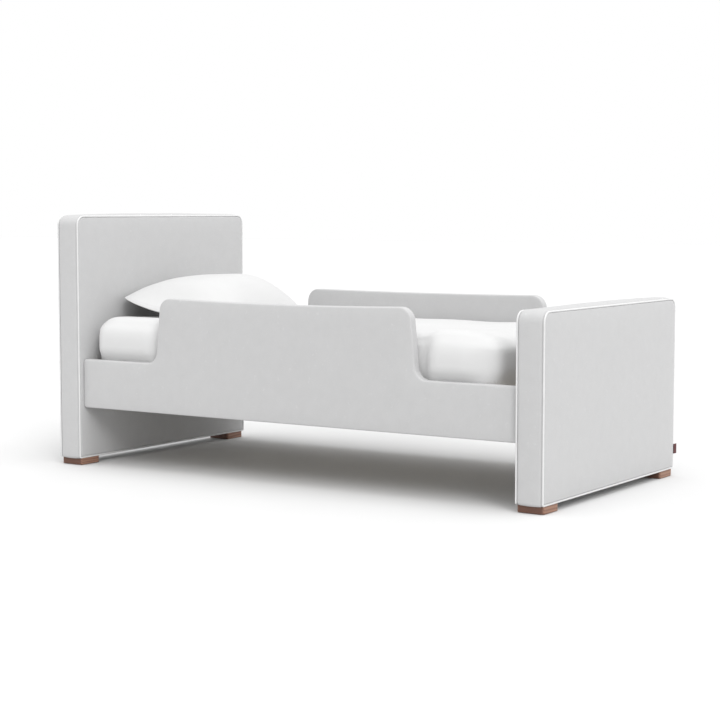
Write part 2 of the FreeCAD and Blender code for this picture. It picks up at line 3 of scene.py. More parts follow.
import bmesh
import bpy
import numpy as np
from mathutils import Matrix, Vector, noise
from mathutils.bvhtree import BVHTree
from mathutils.geometry import delaunay_2d_cdt


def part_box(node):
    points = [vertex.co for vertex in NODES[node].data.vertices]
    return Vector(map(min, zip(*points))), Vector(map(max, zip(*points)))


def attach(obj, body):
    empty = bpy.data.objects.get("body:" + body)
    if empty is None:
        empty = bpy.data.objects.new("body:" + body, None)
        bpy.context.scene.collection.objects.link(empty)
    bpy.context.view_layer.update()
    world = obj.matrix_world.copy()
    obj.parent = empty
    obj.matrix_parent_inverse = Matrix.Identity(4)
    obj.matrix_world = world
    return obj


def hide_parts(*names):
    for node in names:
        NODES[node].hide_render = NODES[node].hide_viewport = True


# Upholstered toddler bed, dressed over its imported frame.  Metres: X runs from the headboard to the
# footboard, Y across the bed, Z up from the floor.

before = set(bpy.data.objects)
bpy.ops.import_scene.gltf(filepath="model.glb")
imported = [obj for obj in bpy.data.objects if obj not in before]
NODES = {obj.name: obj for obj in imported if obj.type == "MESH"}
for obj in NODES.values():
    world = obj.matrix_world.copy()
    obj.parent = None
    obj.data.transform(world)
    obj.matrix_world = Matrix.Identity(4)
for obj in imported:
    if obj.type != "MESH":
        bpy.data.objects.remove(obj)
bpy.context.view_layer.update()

# ---- sizes that the upholsterer sets ---------------------------------------------------------------
OUTLINE_STEP = 0.008        # between points along the outline of a panel or a rail
ROUNDING_STEPS = 5          # across a padded edge
CLEAR = 0.0008              # pillow above sheet
TIGHTEST = 0.0004           # smallest radius that an outline keeps when it is drawn in

PANEL_TOP_RADIUS = 0.028
PANEL_HEM_RADIUS = 0.006
PANEL_GRID = 0.016
PANEL_CROWN = 0.0024
PANEL_RIPPLE = (0.0007, 0.11)   # height and wavelength of the cloth's unevenness
PAD_ROUNDING = 0.0045
BOARD_ROUNDING = 0.0005     # where a pad meets its board
PIPING_SEAT = 0.005         # width of the groove that a piping lies in
PIPING_SIDES = 12
SEAM_LAP = 0.0004           # faces and band reach this far under the piping
BAND_STEPS = 16
BAND_TUCK = 0.07            # share of the band's width that turns in at each seam
BAND_LAP = 0.003            # band cloth down over the wadding
BAND_CROWN = 0.0016
BAND_RIPPLE = (0.0006, 0.09)
BAND_TOP_CROWN = 0.0045     # more padding over the top, most of it in the middle

RAIL_GRID = 0.014
RAIL_ROUNDING = 0.0042
RAIL_CROWN = 0.0016
RAIL_CROWN_REACH = 0.05
RAIL_RIPPLE = (0.0008, 0.12)
RAIL_END_RADIUS = 0.009
GUARD_LENGTH = 0.858
GUARD_SLOPE = 0.017
GUARD_SHIFT = -0.012
GUARD_TOP_RADIUS = 0.038
GUARD_FOOT_RADIUS = 0.036
GUARD_SAG = {"near": 0.0068, "far": 0.0035}

MATTRESS_CORNER = 0.042
MATTRESS_CORNER_STEPS = 10
MATTRESS_TIGHTEST_CORNER = 0.012
MATTRESS_TOP_ROUNDING = 0.040
MATTRESS_TOP_STEPS = 8
MATTRESS_HEM_ROUNDING = 0.014
MATTRESS_SWELL = 0.017      # out over the low rails
MATTRESS_PINCH = 0.009      # in at the ends of the guards
MATTRESS_BELLY = {"head": 0.006, "foot": 0.012}
MATTRESS_ROLL = {"head": 0.005, "foot": 0.009}
MATTRESS_SINK = 0.007
MATTRESS_FAR_SINK = 0.010
MATTRESS_END_SINK = {"head": 0.010, "foot": 0.014}
MATTRESS_RIPPLE = (0.003, 0.16)
TICKING_INSET = 0.0042
TICKING_GRID = 0.016
TICKING_UNDERSIDE = 0.3     # the ticking goes this far in under the mattress before it is filled in
SHEET_GRID = 0.011
SHEET_HEM = 0.110
SHEET_THICKNESS = 0.0012

PILLOW_CUT = (0.205, 0.283)
PILLOW_GRID = (38, 52)
PILLOW_LOFT = 0.100
PILLOW_UNDERSIDE = 0.028
PILLOW_SEAM = 0.008         # seam above the mattress where the pillow lies flat
PILLOW_SLOPE = 0.26
PILLOW_BEND_AT = -0.52
PILLOW_BEND = 0.03
PILLOW_CORNERS = 0.5
PILLOW_WAIST = 0.07
PILLOW_HOLD = 0.7           # how far the blown-up outline is drawn back to the cut
PILLOW_SPREAD = 0.014
PILLOW_SINK = 0.004
PILLOW_HEM_REACH = 0.11     # from the open end to where the filling is at its full height
STITCH_PITCH = 0.005
STITCH_LENGTH = 0.0036
STITCH_RADIUS = 0.0006
STITCH_TIP = (0.0004, 0.0002)   # length and radius of a stitch's end

TAB_CLOTH = 0.0006
TAB_HALF = 0.0011           # half the folded tab's thickness
TAB_SHIFT = 0.0006          # outwards, off the panel's face
TAB_LOOP = 0.001            # fold past the end of its solid
TAB_FOLD = (0.0002, 0.0009)     # radii of the cut edges and of the fold
TAB_EDGE = 0.0001
TAB_STEP = 0.0006
TAB_GRID = 0.002
SLAT_COUNT = 12
WEBBING_WIDTH = 0.025
WEBBING_STEP = 0.006
WEBBING_SAG = 0.003         # between two slats
WEBBING_GAP = 0.0001
WELD_REACH = 0.00001
EASED_EDGE = 0.0007

SIDES = {"near": -1, "far": 1}
ENDS = {"headboard": -1, "footboard": 1}


# ---- finishes --------------------------------------------------------------------------------------
class Wire:
    """An output socket of a finish; sums on wires add Math nodes."""

    def __init__(self, finish, socket):
        self.finish = finish
        self.socket = socket

    def sum(self, operation, first, second=None):
        sockets = {0: first} if second is None else {0: first, 1: second}
        return self.finish.node("Math", {"operation": operation}, sockets)

    def __add__(self, other):
        return self.sum("ADD", self, other)

    def __radd__(self, other):
        return self.sum("ADD", other, self)

    def __sub__(self, other):
        return self.sum("SUBTRACT", self, other)

    def __rsub__(self, other):
        return self.sum("SUBTRACT", other, self)

    def __mul__(self, other):
        return self.sum("MULTIPLY", self, other)

    def __rmul__(self, other):
        return self.sum("MULTIPLY", other, self)

    def __truediv__(self, other):
        return self.sum("DIVIDE", self, other)

    def __rtruediv__(self, other):
        return self.sum("DIVIDE", other, self)

    def __pow__(self, other):
        return self.sum("POWER", self, other)

    def __rpow__(self, other):
        return self.sum("POWER", other, self)

    def sine(self):
        return self.sum("SINE", self)

    def size(self):
        return self.sum("ABSOLUTE", self)


class Finish:
    """A material, with the ways of adding nodes to it."""

    def __init__(self, name):
        self.material = bpy.data.materials.new(name)
        self.material.use_nodes = True
        self.tree = self.material.node_tree
        self.shader = self.tree.nodes["Principled BSDF"]
        self.place = self.node("TexCoord", out="Object")

    def node(self, kind, settings=None, sockets=None, out=0):
        """Adds a node: its settings first, then a value or a wire for each socket."""
        made = self.tree.nodes.new(f"ShaderNode{kind}")
        for name, value in (settings or {}).items():
            if name == "stops":
                self.set_stops(made.color_ramp, value)
            else:
                setattr(made, name, value)
        self.feed(made, sockets or {})
        return Wire(self, made.outputs[out])

    def feed(self, made, sockets):
        for name, value in sockets.items():
            if isinstance(value, Wire):
                self.tree.links.new(value.socket, made.inputs[name])
            else:
                made.inputs[name].default_value = value

    def set_stops(self, ramp, stops):
        while len(ramp.elements) < len(stops):
            ramp.elements.new(1.0)
        for element, (position, colour) in zip(ramp.elements, stops):
            element.position = position
            element.color = colour

    def axes(self, vector):
        """The three parts of a vector."""
        parts = self.node("SeparateXYZ", sockets={0: vector})
        return [Wire(self, output) for output in parts.socket.node.outputs]

    def stretched(self, scales):
        """Places with each axis scaled."""
        return self.node("Mapping", sockets={"Vector": self.place, "Scale": scales})

    def cloud(self, scale, detail=2.0, roughness=0.5, place=None):
        """Soft noise from 0 to 1 with the given number of features to the metre."""
        sockets = {"Vector": place or self.place, "Scale": scale, "Detail": detail, "Roughness": roughness}
        return self.node("TexNoise", sockets=sockets)

    def ramp(self, value, stops):
        return self.node("ValToRGB", {"stops": stops}, {0: value})

    def blend(self, share, first, second):
        """One colour turning into another."""
        sockets = {0: share, 6: first, 7: second}
        return self.node("Mix", {"data_type": "RGBA"}, sockets, out=2)

    def bump(self, height, distance, strength=1.0, normal=None):
        sockets = {"Height": height, "Distance": distance, "Strength": strength}
        if normal is not None:
            sockets["Normal"] = normal
        return self.node("Bump", sockets=sockets)

    def surface(self, **sockets):
        names = {name.replace("_", " "): value for name, value in sockets.items()}
        self.feed(self.shader, names)
        return self.material


def shade(level, warmth=0.0):
    """A near-neutral colour."""
    return (level * (1 + warmth), level, level * (1 - warmth), 1.0)


def tinted(colour, share):
    return tuple(part * share for part in colour[:3]) + (1.0,)


def woven(finish, pitch):
    """Threads over and under each other on whichever plane the cloth faces, from 0 to 1."""
    turn = math.pi / pitch
    waves = [(part * turn).sine() for part in finish.axes(finish.place)]
    facing = [part.size() ** 4.0 for part in finish.axes(finish.node("NewGeometry", out="Normal"))]
    crossings = [waves[1] * waves[2], waves[0] * waves[2], waves[0] * waves[1]]
    total = facing[0] + facing[1] + facing[2]
    mixed = facing[0] * crossings[0] + facing[1] * crossings[1] + facing[2] * crossings[2]
    return mixed / total * 0.5 + 0.5


def upholstery(name, colour):
    """Light grey melange cloth: fine weave, flecked yarn, faint cloudiness."""
    finish = Finish(name)
    weave = woven(finish, 0.0011)
    slubs_along = finish.cloud(1.0, 3.0, 0.6, finish.stretched((60.0, 520.0, 700.0)))
    slubs_up = finish.cloud(1.0, 3.0, 0.6, finish.stretched((640.0, 560.0, 70.0)))
    flecks = finish.cloud(230.0, 3.0, 0.65)
    clouds = finish.cloud(34.0, 3.0, 0.55)
    pale = finish.cloud(95.0, 1.0, 0.4)
    tone = (slubs_along + slubs_up) * 0.16 + flecks * 0.26 + clouds * 0.34 + weave * 0.08
    worn = finish.ramp(tone, [
        (0.30, tinted(colour, 0.95)), (0.5, tinted(colour, 1.0)), (0.70, tinted(colour, 1.035)),
    ])
    specks = finish.ramp(pale, [(0.70, shade(0.0)), (0.78, shade(0.4))])
    coloured = finish.blend(specks, worn, tinted(colour, 1.14))
    yarn = finish.bump(weave * 0.6 + (slubs_along + slubs_up) * 0.5 + flecks * 0.4, 0.0005, 0.6)
    padding = finish.bump(finish.cloud(9.0, 2.0), 0.004, 0.12, yarn)
    return finish.surface(
        Base_Color=coloured, Roughness=0.85 + 0.12 * flecks, Normal=padding,
        Sheen_Weight=0.25, Sheen_Roughness=0.5, Specular_IOR_Level=0.2,
    )


def piping_cloth(name, colour):
    """White cotton cut on the bias over a cord."""
    finish = Finish(name)
    parts = finish.axes(finish.place)
    bias = ((parts[0] + parts[1] + parts[2]) * (math.pi / 0.0009)).sine() * 0.5 + 0.5
    wear = finish.cloud(60.0, 3.0)
    return finish.surface(
        Base_Color=finish.ramp(wear * 0.8 + bias * 0.2, [(0.3, tinted(colour, 0.93)), (0.7, colour)]),
        Roughness=0.72 + 0.14 * wear, Normal=finish.bump(bias + wear, 0.0003, 0.5),
        Sheen_Weight=0.2, Specular_IOR_Level=0.3,
    )


def percale(name, colour):
    """Fine white cotton, with the fold lines and soft creases of laundered cloth."""
    finish = Finish(name)
    weave = woven(finish, 0.0005)
    creases = finish.cloud(26.0, 4.0, 0.6, finish.stretched((0.6, 1.0, 1.0)))
    soft = finish.cloud(6.0, 2.0)
    tone = creases * 0.5 + soft * 0.4 + weave * 0.1
    return finish.surface(
        Base_Color=finish.ramp(tone, [(0.3, tinted(colour, 0.965)), (0.7, colour)]),
        Roughness=0.78 + 0.1 * creases,
        Normal=finish.bump(creases, 0.0022, 0.3, finish.bump(weave, 0.0002, 0.4)),
        Sheen_Weight=0.15, Specular_IOR_Level=0.25,
    )


def timber(name, dark, light, grain, gloss, end_grain_and_shade=0.75):
    """Sawn wood: long rings and fibres along the given axis, darker where it is cut across: end grain tone,
    and on the walnut feet also painted shade on their near and far faces.
    """
    finish = Finish(name)
    stretch = [14.0, 14.0, 14.0]
    stretch["XYZ".index(grain)] = 1.4
    along = finish.stretched(stretch)
    drift = finish.cloud(1.0, 3.0, 0.55, along)
    parts = finish.axes(finish.place)
    across = [part for part, axis in zip(parts, "XYZ") if axis != grain]
    rings = ((across[0] * 1.3 + across[1] + drift * 0.05) * 700.0).sine() * 0.5 + 0.5
    fine = [420.0, 420.0, 420.0]
    fine["XYZ".index(grain)] = 18.0
    fibres = finish.cloud(1.0, 4.0, 0.7, finish.stretched(fine))
    tone = rings * 0.28 + drift * 0.42 + fibres * 0.3
    along_grain = finish.ramp(tone, [(0.25, dark), (0.75, light)])
    # Painted shade in part: faces across the grain take a darker tone, for end grain and, on the walnut, for
    # the shade on the feet's near face.
    cut = finish.axes(finish.node("NewGeometry", out="Normal"))["XYZ".index(grain)].size()
    colour = finish.blend(cut ** 3.0, along_grain, tinted(dark, end_grain_and_shade * 2))
    height = rings * 0.3 + fibres * 0.35
    return finish.surface(
        Base_Color=colour, Roughness=gloss + 0.18 * fibres, Normal=finish.bump(height, 0.0004, 0.5),
        Specular_IOR_Level=0.4,
    )


def plies(name, colour):
    """Birch plywood: pale face with a stripe of dark glue lines through its thickness."""
    finish = Finish(name)
    parts = finish.axes(finish.place)
    glue = (parts[0] * (math.pi / 0.0013)).sine() * 0.5 + 0.5
    figure = finish.cloud(1.0, 4.0, 0.6, finish.stretched((30.0, 30.0, 5.0)))
    tone = figure * 0.7 + glue * 0.3
    return finish.surface(
        Base_Color=finish.ramp(tone, [(0.25, tinted(colour, 0.72)), (0.75, tinted(colour, 1.12))]),
        Roughness=0.6 + 0.2 * figure, Normal=finish.bump(figure, 0.0004, 0.4),
    )


def foam(name, colour, cell):
    """Open cut foam or loose fibre."""
    finish = Finish(name)
    cells = finish.node("TexVoronoi", sockets={"Vector": finish.place, "Scale": 1 / cell}, out="Distance")
    clumps = finish.cloud(40.0, 3.0)
    tone = cells * 0.5 + clumps * 0.5
    return finish.surface(
        Base_Color=finish.ramp(tone, [(0.2, tinted(colour, 0.8)), (0.8, colour)]),
        Roughness=0.9 + 0.08 * clumps, Normal=finish.bump(cells, cell * 0.4, 0.6),
        Specular_IOR_Level=0.1,
    )


def cloth_tape(name, colour, pitch, axis):
    """Webbing, ribbon, felt or ticking: ribs across its length and a fuzzy face."""
    finish = Finish(name)
    part = finish.axes(finish.place)["XYZ".index(axis)]
    ribs = (part * (math.pi / pitch)).sine() * 0.5 + 0.5
    fuzz = finish.cloud(400.0, 3.0, 0.7)
    tone = ribs * 0.4 + fuzz * 0.6
    return finish.surface(
        Base_Color=finish.ramp(tone, [(0.25, tinted(colour, 0.75)), (0.75, tinted(colour, 1.15))]),
        Roughness=0.8 + 0.15 * fuzz, Normal=finish.bump(ribs + fuzz, pitch * 0.3, 0.6),
        Sheen_Weight=0.2, Specular_IOR_Level=0.2,
    )


def steel(name, colour, metallic, gloss):
    """Plated or powder-coated steel with fine handling marks."""
    finish = Finish(name)
    marks = finish.cloud(1.0, 4.0, 0.7, finish.stretched((900.0, 900.0, 90.0)))
    dull = finish.cloud(120.0, 3.0)
    return finish.surface(
        Base_Color=finish.ramp(dull, [(0.3, tinted(colour, 0.85)), (0.7, colour)]),
        Metallic=metallic, Roughness=gloss + 0.16 * marks, Normal=finish.bump(marks, 0.0001, 0.4),
    )


def stage_floor(name):
    finish = Finish(name)
    grain = finish.cloud(3.0, 3.0)
    return finish.surface(
        Base_Color=finish.ramp(grain, [(0.3, shade(0.66)), (0.7, shade(0.67))]), Roughness=0.9,
        Specular_IOR_Level=0.0,
    )


FINISHES = {
    "upholstery_cloth": upholstery("upholstery_cloth", (0.49, 0.49, 0.492, 1.0)),
    "piping_cloth": piping_cloth("piping_cloth", shade(0.69)),
    # The walnut's low end-grain share darkens the feet's near and far faces: painted shade, partly end grain.
    "walnut": timber("walnut", (0.15, 0.072, 0.048, 1), (0.36, 0.205, 0.140, 1), "Y", 0.42, 0.42),
    "felt": cloth_tape("felt", (0.12, 0.11, 0.1, 1), 0.0006, "X"),
    "upholstery_foam": foam("upholstery_foam", (0.85, 0.82, 0.7, 1), 0.0012),
    "mattress_foam": cloth_tape("mattress_ticking", (0.8, 0.79, 0.75, 1), 0.004, "X"),
    "pillow_filling": foam("pillow_filling", shade(0.9), 0.004),
    "plywood": plies("plywood", (0.62, 0.46, 0.3, 1)),
    "frame_timber": timber("frame_timber", (0.48, 0.40, 0.30, 1), (0.74, 0.65, 0.52, 1), "Z", 0.6),
    "slat_timber": timber("slat_timber", (0.56, 0.51, 0.44, 1), (0.76, 0.71, 0.64, 1), "Y", 0.55),
    "webbing": cloth_tape("webbing", (0.72, 0.67, 0.55, 1), 0.0016, "X"),
    "sheet_cotton": percale("sheet_cotton", shade(0.61)),
    "pillow_cotton": percale("pillow_cotton", shade(0.585)),
    "bracket_steel": steel("bracket_steel", (0.04, 0.04, 0.045, 1), 0.0, 0.42),
    "fastener_steel": steel("fastener_steel", (0.62, 0.62, 0.63, 1), 1.0, 0.3),
    "tab_cloth": cloth_tape("tab_cloth", (0.085, 0.009, 0.011, 1), 0.0008, "Z"),
}


# ---- shapes ----------------------------------------------------------------------------------------
def unit(vector):
    return vector / np.linalg.norm(vector)


def arcs(corners, step, inset):
    """Points along the round corners of a closed counter-clockwise outline that is drawn in by inset."""
    points = []
    for i, (u, v, radius) in enumerate(corners):
        here = np.array((u, v))
        back = unit(np.array(corners[i - 1][:2]) - here)
        on = unit(np.array(corners[(i + 1) % len(corners)][:2]) - here)
        inwards = 1 if back[1] * on[0] > back[0] * on[1] else -1
        half = math.acos(back @ on) / 2
        middle = unit(back + on) / math.sin(half)
        left = max(radius - inwards * inset, TIGHTEST)
        corner = here + middle * inwards * inset
        centre = corner + middle * left
        first = corner + back * left / math.tan(half) - centre
        last = corner + on * left / math.tan(half) - centre
        start = math.atan2(first[1], first[0])
        sweep = (math.atan2(last[1], last[0]) - start + math.pi) % (2 * math.pi) - math.pi
        steps = max(6, math.ceil(abs(sweep) * radius / step))
        angles = start + sweep * np.arange(steps + 1) / steps
        points += list(centre + left * np.column_stack((np.cos(angles), np.sin(angles))))
    return points


def rounded(corners, step, inset=0.0):
    """A closed outline from corners (u, v, radius), drawn in by inset; it always has the same points."""
    plain, moved = arcs(corners, step, 0.0), arcs(corners, step, inset)
    points = []
    for i, here in enumerate(moved):
        following = (i + 1) % len(moved)
        pieces = max(1, round(np.linalg.norm(plain[following] - plain[i]) / step))
        points += [here + (moved[following] - here) * k / pieces for k in range(pieces)]
    return np.array(points)


def inside(points, outline):
    """Which points lie within an outline."""
    result = np.zeros(len(points), bool)
    u, v = points[:, 0], points[:, 1]
    for (u0, v0), (u1, v1) in zip(outline, np.roll(outline, -1, 0)):
        crosses = (v0 > v) != (v1 > v)
        if v0 != v1:
            result ^= crosses & (u < (u1 - u0) * (v - v0) / (v1 - v0) + u0)
    return result


def distance_to(points, outline):
    """How far each point is from the outline's nearest edge."""
    nearest = np.full(len(points), np.inf)
    for start, stop in zip(outline, np.roll(outline, -1, 0)):
        edge = stop - start
        share = np.clip(((points - start) @ edge) / (edge @ edge), 0, 1)
        nearest = np.minimum(nearest, np.linalg.norm(points - start - share[:, None] * edge, axis=1))
    return nearest


def filled(outline, spacing):
    """Grid points inside an outline, and triangles that join them to it."""
    low, high = outline.min(0), outline.max(0)
    counts = np.maximum(np.round((high - low) / spacing).astype(int), 2)
    lines = [np.linspace(low[axis], high[axis], counts[axis] + 1) for axis in range(2)]
    grid = np.stack(np.meshgrid(*lines, indexing="ij"), -1).reshape(-1, 2)
    grid = grid[inside(grid, outline)]
    grid = grid[distance_to(grid, outline) > spacing * 0.45]
    points = [Vector(p) for p in np.vstack((outline, grid))]
    edges = [(i, (i + 1) % len(outline)) for i in range(len(outline))]
    _, _, triangles, origins, _, _ = delaunay_2d_cdt(points, edges, [], 1, 1e-9)
    return grid, [[origins[i][0] for i in triangle] for triangle in triangles]


def ring_faces(first, second, count, closed=True):
    """Quads between two loops of points, given the index that each starts at."""
    last = count if closed else count - 1
    return [
        (first + i, first + (i + 1) % count, second + (i + 1) % count, second + i)
        for i in range(last)
    ]


def at_levels(outlines, levels):
    """Loops of points (u, v, w) from outlines and the level of each."""
    return [
        np.column_stack((outline, np.full(len(outline), level)))
        for outline, level in zip(outlines, levels)
    ]


def cap_faces(triangles, count, loop_start, grid_start):
    """Triangles over a loop and the grid inside it, numbered by where each starts."""
    return [
        [loop_start + i if i < count else grid_start - count + i for i in triangle]
        for triangle in triangles
    ]


def slab(corners, step, levels, roundings, crowns, spacing, reach=0.07, inset=0.0):
    """A padded board: points (u, v, w) and faces, with rounded edges and two crowned faces."""
    angles = [k * math.pi / 2 / ROUNDING_STEPS for k in range(ROUNDING_STEPS + 1)]
    (low, high), (round_low, round_high) = levels, roundings
    profile = [(round_low * (1 - math.sin(a)), low + round_low * (1 - math.cos(a))) for a in angles]
    profile += [(round_high * (1 - math.cos(a)), high - round_high * (1 - math.sin(a))) for a in angles]
    loops = at_levels(
        [rounded(corners, step, inset + ease) for ease, _ in profile], [level for _, level in profile],
    )
    count = len(loops[0])
    points = [point for loop in loops for point in loop]
    faces = []
    for k in range(len(loops) - 1):
        faces += ring_faces(k * count, (k + 1) * count, count)
    for number, level, out, crown in ((0, low, -1, crowns[0]), (len(loops) - 1, high, 1, crowns[1])):
        edge = loops[number][:, :2]
        grid, triangles = filled(edge, spacing)
        rise = 1 - (1 - np.clip(distance_to(grid, edge) / reach, 0, 1)) ** 3
        faces += cap_faces(triangles, count, number * count, len(points))
        points += list(np.column_stack((grid, level + out * crown * rise)))
    return np.array(points), faces


def tube(corners, step, section):
    """A strip or cord run round an outline: its section is a closed list of (inset, level)."""
    outlines = [rounded(corners, step, inset) for inset, _ in section]
    count = len(outlines[0])
    faces = []
    for k in range(len(section)):
        faces += ring_faces(k * count, (k + 1) % len(section) * count, count)
    return np.vstack(at_levels(outlines, [level for _, level in section])), faces


def make(name, points, faces, finish, body, replaced=()):
    """A smooth piece that rides on a body."""
    mesh = bpy.data.meshes.new(name)
    mesh.from_pydata([tuple(p) for p in points], [], [tuple(f) for f in faces])
    shell = bmesh.new()
    shell.from_mesh(mesh)
    bmesh.ops.remove_doubles(shell, verts=shell.verts, dist=1e-7)
    bmesh.ops.recalc_face_normals(shell, faces=shell.faces)
    shell.to_mesh(mesh)
    shell.free()
    mesh.polygons.foreach_set("use_smooth", [True] * len(mesh.polygons))
    mesh.materials.append(FINISHES[finish])
    piece = bpy.data.objects.new(name, mesh)
    bpy.context.scene.collection.objects.link(piece)
    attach(piece, body)
    if replaced:
        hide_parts(*replaced)
    return piece


def ripple(points, size, wavelength, seed):
    """Soft unevenness, one number for each point."""
    shift = Vector((seed * 17.3, seed * 5.1, seed * 9.7))
    return np.array([size * noise.noise(Vector(p) / wavelength + shift) for p in points])


def fade(value, start, stop):
    """0 before start, 1 after stop, and smooth between."""
    t = np.clip((value - start) / (stop - start), 0, 1)
    return t * t * (3 - 2 * t)


# ---- headboard and footboard -----------------------------------------------------------------------
class Panel:
    """The headboard or the footboard: two crowned faces, a padded band round the edge, and two welts."""

    def __init__(self, name, end, seed):
        self.name = name
        self.end = end
        self.seed = seed
        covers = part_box(f"{name}_inner_cover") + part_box(f"{name}_outer_cover")
        reaches = [end * corner.x for corner in covers]
        self.inner_x = min(reaches)
        self.thickness = max(reaches) - self.inner_x
        self.low, self.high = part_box(f"{name}_edge_cover")
        self.corners = [
            (self.low.y, self.low.z, PANEL_HEM_RADIUS),
            (self.high.y, self.low.z, PANEL_HEM_RADIUS),
            (self.high.y, self.high.z, PANEL_TOP_RADIUS),
            (self.low.y, self.high.z, PANEL_TOP_RADIUS),
        ]

    def piece(self, part, points, faces, finish, *stands_for):
        """A part of the panel; its points are (across, up, outwards from the inner face)."""
        placed = np.column_stack((self.end * (self.inner_x + points[:, 2]), points[:, 0], points[:, 1]))
        nodes = [f"{self.name}_{node}" for node in stands_for]
        return make(f"{self.name}_{part}", placed, faces, finish, "bed_frame", nodes)

    def add_face(self, face, levels, crowns, roundings, out):
        """A cover drawn tight over its foam."""
        points, faces = slab(
            self.corners, OUTLINE_STEP, levels, roundings, crowns, PANEL_GRID, inset=PIPING_SEAT - SEAM_LAP,
        )
        crowned = out * (points[:, 2] - sum(levels) / 2) > 0
        points[:, 2] += out * crowned * ripple(points, *PANEL_RIPPLE, self.seed + out)
        cover = self.piece(f"{face}_face", points, faces, "upholstery_cloth", f"{face}_cover", f"{face}_foam")

    def add_faces(self):
        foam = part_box(f"{self.name}_inner_foam")
        pad_depth = max(self.end * corner.x for corner in foam) - self.inner_x
        self.add_face("inner", (0, pad_depth), (PANEL_CROWN, 0), (PAD_ROUNDING, BOARD_ROUNDING), -1)
        outer_levels = self.thickness - pad_depth, self.thickness
        self.add_face("outer", outer_levels, (0, PANEL_CROWN), (BOARD_ROUNDING, PAD_ROUNDING), 1)

    def add_band(self):
        """The cloth round the edge, over its wadding: tucked in at both seams, crowned between them."""
        depth = self.high.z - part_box(f"{self.name}_edge_wadding")[1].z + BAND_LAP
        start, stop = PIPING_SEAT - SEAM_LAP, self.thickness - PIPING_SEAT + SEAM_LAP
        section = [(depth, stop), (depth, start)]
        for k in range(BAND_STEPS + 1):
            share = k / BAND_STEPS
            turn = max(0.0, 1 - min(share, 1 - share) / BAND_TUCK)
            tuck = PAD_ROUNDING * (1 - math.sqrt(max(0.0, 1 - turn ** 2)))
            crown = BAND_CROWN * (1 - (2 * share - 1) ** 2)
            section.append((tuck - crown, start + (stop - start) * share))
        points, faces = tube(self.corners, OUTLINE_STEP, section)
        unevenness = ripple(points, *BAND_RIPPLE, self.seed + 5)
        outward = points - np.array((0, (self.low.z + self.high.z) / 2, 0))
        outward[:, 2] = 0
        outward /= np.linalg.norm(outward, axis=1)[:, None]
        points += outward * unevenness[:, None]
        share = np.clip((points[:, 2] - start) / (stop - start), 0, 1)
        arch = (1 - (points[:, 0] / self.high.y) ** 2) * (1 - (2 * share - 1) ** 2)
        points[:, 1] += BAND_TOP_CROWN * arch * fade(points[:, 1], self.high.z - 0.02, self.high.z - 0.002)
        band = self.piece("edge_band", points, faces, "upholstery_cloth", "edge_cover", "edge_wadding")

    def add_welts(self):
        """The piping in both seams."""
        for face, level in (("inner", PIPING_SEAT / 2), ("outer", self.thickness - PIPING_SEAT / 2)):
            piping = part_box(f"{self.name}_{face}_piping")
            radius = (piping[1].x - piping[0].x) / 2
            section = [
                (PIPING_SEAT / 2 + radius * math.cos(a), level + radius * math.sin(a))
                for a in np.linspace(0, 2 * math.pi, PIPING_SIDES, endpoint=False)
            ]
            points, faces = tube(self.corners, OUTLINE_STEP, section)
            self.piece(f"{face}_welt", points, faces, "piping_cloth", f"{face}_piping")


# ---- side rails ------------------------------------------------------------------------------------
def highest_near(node, x, reach):
    """The top of a node close to a place along the bed."""
    return max(v.co.z for v in NODES[node].data.vertices if abs(v.co.x - x) < reach)


def rail_corners(name):
    low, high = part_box(f"{name}_rail_cover")
    beam_top = highest_near(f"{name}_rail_cover", high.x, 0.1)
    foot = GUARD_LENGTH / 2
    top = foot - GUARD_SLOPE
    return beam_top, [
        (low.x, low.z, RAIL_END_RADIUS),
        (high.x, low.z, RAIL_END_RADIUS),
        (high.x, beam_top, RAIL_END_RADIUS),
        (GUARD_SHIFT + foot, beam_top, GUARD_FOOT_RADIUS),
        (GUARD_SHIFT + top, high.z, GUARD_TOP_RADIUS),
        (GUARD_SHIFT - top, high.z, GUARD_TOP_RADIUS),
        (GUARD_SHIFT - foot, beam_top, GUARD_FOOT_RADIUS),
        (low.x, beam_top, RAIL_END_RADIUS),
    ]


def build_rail(name, side, sag, seed):
    """One padded sleeve over the beam and its guard, which dips a little between its ends."""
    low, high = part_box(f"{name}_rail_cover")
    levels = sorted((abs(low.y), abs(high.y)))
    beam_top, corners = rail_corners(name)
    points, faces = slab(
        corners, OUTLINE_STEP, levels, (RAIL_ROUNDING, RAIL_ROUNDING), (0, RAIL_CROWN),
        RAIL_GRID, RAIL_CROWN_REACH,
    )
    outer = fade(points[:, 2], sum(levels) / 2, levels[1])
    points[:, 2] += outer * ripple(points, *RAIL_RIPPLE, seed)
    reach = np.clip(1 - ((points[:, 0] - GUARD_SHIFT) / (GUARD_LENGTH / 2)) ** 2, 0, 1)
    points[:, 1] -= sag * reach * fade(points[:, 1], beam_top, high.z)
    placed = np.column_stack((points[:, 0], side * points[:, 2], points[:, 1]))
    rail = make(
        f"{name}_rail", placed, faces, "upholstery_cloth", "bed_frame",
        (f"{name}_rail_cover", f"{name}_rail_foam"),
    )


# ---- mattress and sheet ----------------------------------------------------------------------------
def rectangle_loop(low, high, radius, counts):
    """A rounded rectangle with a fixed number of points along its sides and corners."""
    along_x, along_y, along_corner = counts
    (x0, y0), (x1, y1) = low, high
    corners = [(x1 - radius, y0 + radius, -90), (x1 - radius, y1 - radius, 0),
               (x0 + radius, y1 - radius, 90), (x0 + radius, y0 + radius, 180)]
    points = []
    for i, (x, y, start) in enumerate(corners):
        for k in range(along_corner + 1):
            angle = math.radians(start + 90 * k / along_corner)
            points.append(np.array((x + radius * math.cos(angle), y + radius * math.sin(angle))))
        following = corners[(i + 1) % 4]
        angle = math.radians(following[2])
        target = np.array((following[0] + radius * math.cos(angle), following[1] + radius * math.sin(angle)))
        pieces = along_y if i % 2 == 0 else along_x
        here = points[-1]
        points += [here + (target - here) * k / pieces for k in range(1, pieces)]
    return np.array(points)


